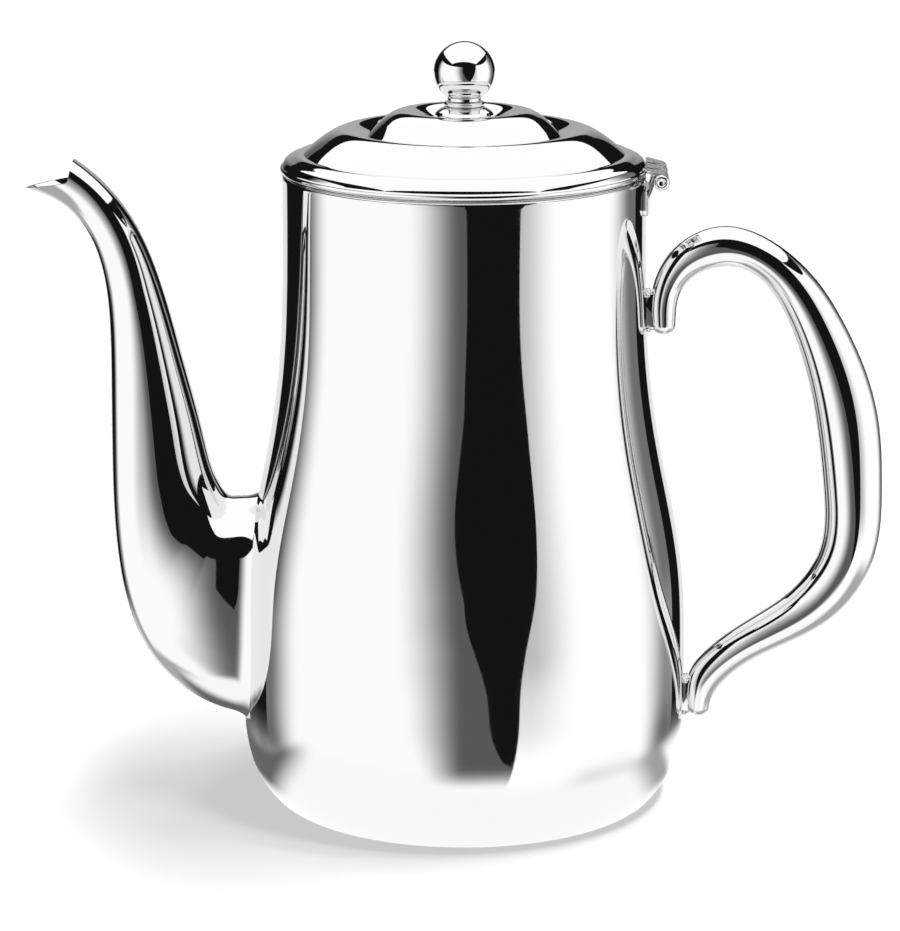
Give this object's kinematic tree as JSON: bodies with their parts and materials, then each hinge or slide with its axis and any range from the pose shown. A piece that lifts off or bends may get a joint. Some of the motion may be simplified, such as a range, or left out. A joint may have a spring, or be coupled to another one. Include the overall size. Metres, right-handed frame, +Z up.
{
  "type": "coffee pot",
  "caption": "Tall polished steel coffee pot with a long curved spout, a hollow loop handle, and a stepped domed lid with a ball finial, hinged at the rim above the handle.",
  "frame": {"origin": "centre of the flat base, on the surface the pot stands on", "axes": "+Z up along the body's axis, the spout points along -X, the handle and the lid's hinge are on the +X side, and the XZ plane is the plane of symmetry"},
  "size_m": [0.2379, 0.1248, 0.2128],
  "materials": {
    "polished_steel": "mirror polished stainless steel",
    "satin_steel": "satin stainless steel",
    "plain_steel": "plain machined steel"
  },
  "bodies": {
    "pot": {"body_shell": "polished_steel", "base_disc": "satin_steel", "spout_half_front": "polished_steel", "spout_half_back": "polished_steel", "handle_half_front": "polished_steel", "handle_half_back": "polished_steel", "handle_upper_lug": "polished_steel", "handle_lower_lug": "polished_steel", "hinge_body_leaf": "polished_steel", "hinge_pin": "polished_steel"},
    "lid": {"lid_dome": "polished_steel", "lid_skirt": "satin_steel", "hinge_lid_leaf": "polished_steel", "finial_ball": "polished_steel", "finial_collar": "polished_steel", "finial_foot": "polished_steel", "finial_stud": "plain_steel", "finial_washer": "plain_steel", "finial_nut": "plain_steel"}
  },
  "joints": [
    {"name": "lid_hinge", "type": "hinge", "parent": "pot", "child": "lid", "pos_m": [0.0538, 0, 0.1762], "axis": [0, 1, 0], "range_deg": [0, 105]}
  ]
}
